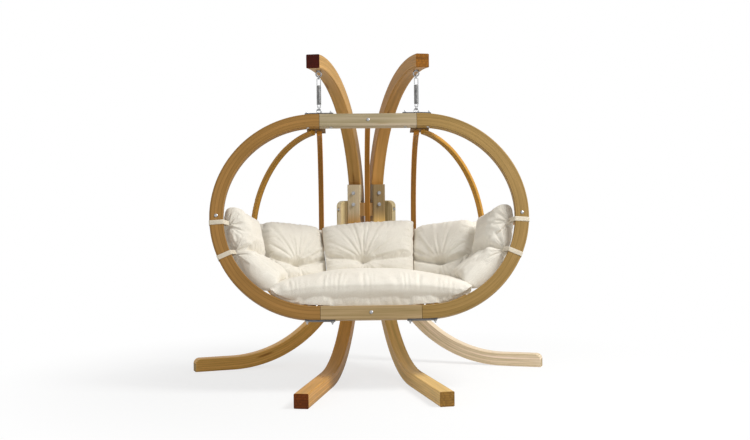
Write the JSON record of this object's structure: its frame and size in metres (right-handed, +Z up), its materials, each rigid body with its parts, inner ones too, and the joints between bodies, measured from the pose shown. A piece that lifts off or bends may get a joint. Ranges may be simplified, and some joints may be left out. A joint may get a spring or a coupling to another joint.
{
  "type": "double hanging chair with stand",
  "caption": "Two-seat hanging chair: a long wooden ring with bent hoops and loose cushions, hung on two coil springs from a bent-wood stand.",
  "frame": {"origin": "on the floor under the middle of the whole piece", "axes": "+X to the sitter's left when seen from the front (viewer's right), -Y to the front, +Z up"},
  "size_m": [2.0918, 1.6066, 1.8285],
  "materials": {
    "honey_wood": "oiled laminated spruce",
    "pale_wood": "oiled laminated spruce, paler",
    "zinc_steel": "zinc plated",
    "dark_steel": "dark coated",
    "cotton": "natural cotton",
    "strap": "cotton tape"
  },
  "bodies": {
    "stand": {"lap_bolts": "zinc_steel", "left_arm": "honey_wood", "left_arm_eye_bolt": "zinc_steel", "left_front_leg": "pale_wood", "left_side_leg": "honey_wood", "right_arm": "honey_wood", "right_arm_eye_bolt": "zinc_steel", "right_front_leg": "pale_wood", "right_side_leg": "pale_wood", "spine_spacer": "pale_wood", "stand_nuts": "zinc_steel", "stand_washers": "zinc_steel", "tie_rod": "zinc_steel"},
    "chair": {"barrel_nuts": "zinc_steel", "bottom_bar": "pale_wood", "frame_bolts": "zinc_steel", "hoop_screws": "zinc_steel", "left_back_cushion": "cotton", "left_back_hoop": "honey_wood", "left_bottom_bracket": "dark_steel", "left_bottom_plate": "dark_steel", "left_chair_eye": "zinc_steel", "left_diagonal_hoop": "honey_wood", "left_half_ring": "honey_wood", "left_side_cushion": "cotton", "left_straps": "strap", "left_top_bracket": "dark_steel", "left_top_plate": "dark_steel", "middle_back_cushion": "cotton", "middle_hoop": "honey_wood", "right_back_cushion": "cotton", "right_back_hoop": "honey_wood", "right_bottom_bracket": "dark_steel", "right_bottom_plate": "dark_steel", "right_chair_eye": "zinc_steel", "right_diagonal_hoop": "honey_wood", "right_half_ring": "honey_wood", "right_side_cushion": "cotton", "right_straps": "strap", "right_top_bracket": "dark_steel", "right_top_plate": "dark_steel", "seam_bolts": "zinc_steel", "seam_nuts": "zinc_steel", "seat_cushion": "cotton", "top_bar": "pale_wood", "waist_hoop": "honey_wood"},
    "left_upper_link": {"left_upper_link": "zinc_steel"},
    "left_spring": {"left_spring_top_loop": "zinc_steel", "left_spring_coil": "zinc_steel"},
    "left_spring_tail": {"left_spring_bottom_loop": "zinc_steel"},
    "left_lower_link": {"left_lower_link": "zinc_steel"},
    "right_upper_link": {"right_upper_link": "zinc_steel"},
    "right_spring": {"right_spring_top_loop": "zinc_steel", "right_spring_coil": "zinc_steel"},
    "right_spring_tail": {"right_spring_bottom_loop": "zinc_steel"},
    "right_lower_link": {"right_lower_link": "zinc_steel"}
  },
  "joints": [
    {"name": "left_swing", "type": "hinge", "parent": "stand", "child": "left_upper_link", "pos_m": [-0.272, -0.00027, 1.70542], "axis": [1, 0, 0], "range_deg": [-9, 9]},
    {"name": "left_sway", "type": "hinge", "parent": "left_upper_link", "child": "left_spring", "pos_m": [-0.272, -0.00027, 1.69292], "axis": [0, 1, 0], "range_deg": [-8, 8]},
    {"name": "left_bounce", "type": "slide", "parent": "left_spring", "child": "left_spring_tail", "axis": [0, 0, -1], "range_m": [0, 0.05], "stiffness_N_per_m": 25000, "springref_m": -0.0242, "deforming": ["left_spring_coil"]},
    {"name": "left_level", "type": "hinge", "parent": "left_spring_tail", "child": "left_lower_link", "pos_m": [-0.272, -0.00027, 1.53752], "axis": [0, 1, 0], "range_deg": [-8, 8]},
    {"name": "right_swing", "type": "hinge", "parent": "stand", "child": "right_upper_link", "pos_m": [0.272, -0.00027, 1.70542], "axis": [1, 0, 0], "range_deg": [-9, 9]},
    {"name": "right_sway", "type": "hinge", "parent": "right_upper_link", "child": "right_spring", "pos_m": [0.272, -0.00027, 1.69292], "axis": [0, 1, 0], "range_deg": [-8, 8]},
    {"name": "right_bounce", "type": "slide", "parent": "right_spring", "child": "right_spring_tail", "axis": [0, 0, -1], "range_m": [0, 0.05], "deforming": ["right_spring_coil"]},
    {"name": "right_level", "type": "hinge", "parent": "right_spring_tail", "child": "right_lower_link", "pos_m": [0.272, -0.00027, 1.53752], "axis": [0, 1, 0], "range_deg": [-8, 8]},
    {"name": "chair_pitch", "type": "hinge", "parent": "left_lower_link", "child": "chair", "pos_m": [-0.272, -0.00027, 1.52502], "axis": [1, 0, 0], "range_deg": [-5, 5]}
  ],
  "couplings": [
    {"joint": "left_level", "follows": "left_sway", "ratio": -1},
    {"joint": "right_level", "follows": "left_sway", "ratio": -1},
    {"joint": "right_swing", "follows": "left_swing", "ratio": 1},
    {"joint": "right_sway", "follows": "left_sway", "ratio": 1},
    {"joint": "right_bounce", "follows": "left_bounce", "ratio": 1}
  ]
}
